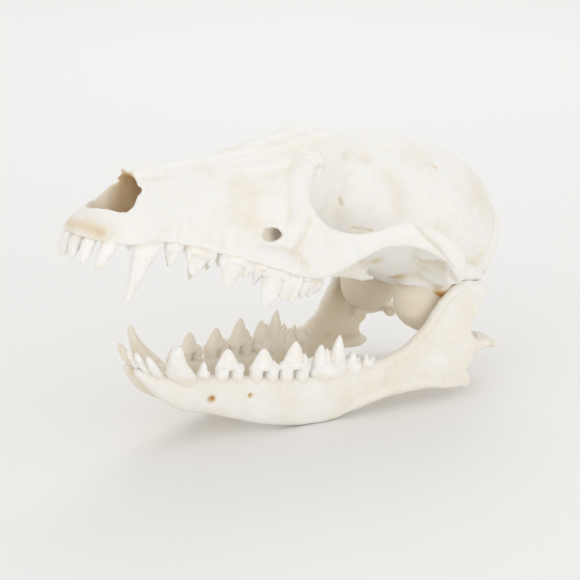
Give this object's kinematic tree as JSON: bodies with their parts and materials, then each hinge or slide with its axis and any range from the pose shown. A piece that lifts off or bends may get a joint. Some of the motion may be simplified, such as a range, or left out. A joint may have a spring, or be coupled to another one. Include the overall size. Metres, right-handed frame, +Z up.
{
  "type": "fox skull",
  "caption": "Life-size red fox skull: cranium with teeth, cheek arches and ear bullae tipped back on an upright two-part lower jaw.",
  "frame": {"origin": "centre of the footprint, on the floor the lower jaw stands on", "axes": "snout towards -X, the animal's left side towards -Y, +Z up"},
  "size_m": [0.1496, 0.0728, 0.0824],
  "materials": {
    "snout": "smooth dry bone with enamelled teeth",
    "braincase": "smooth dry bone",
    "cheekbone_left": "smooth dry bone",
    "cheekbone_right": "smooth dry bone",
    "ear_bulla_left": "smooth dry bone",
    "ear_bulla_right": "smooth dry bone",
    "jaw_left": "smooth dry bone with enamelled teeth",
    "jaw_right": "smooth dry bone with enamelled teeth"
  },
  "bodies": {
    "root": {"snout": "snout", "braincase": "braincase", "cheekbone_left": "cheekbone_left", "cheekbone_right": "cheekbone_right", "ear_bulla_left": "ear_bulla_left", "ear_bulla_right": "ear_bulla_right", "jaw_left": "jaw_left", "jaw_right": "jaw_right"}
  },
  "joints": []
}
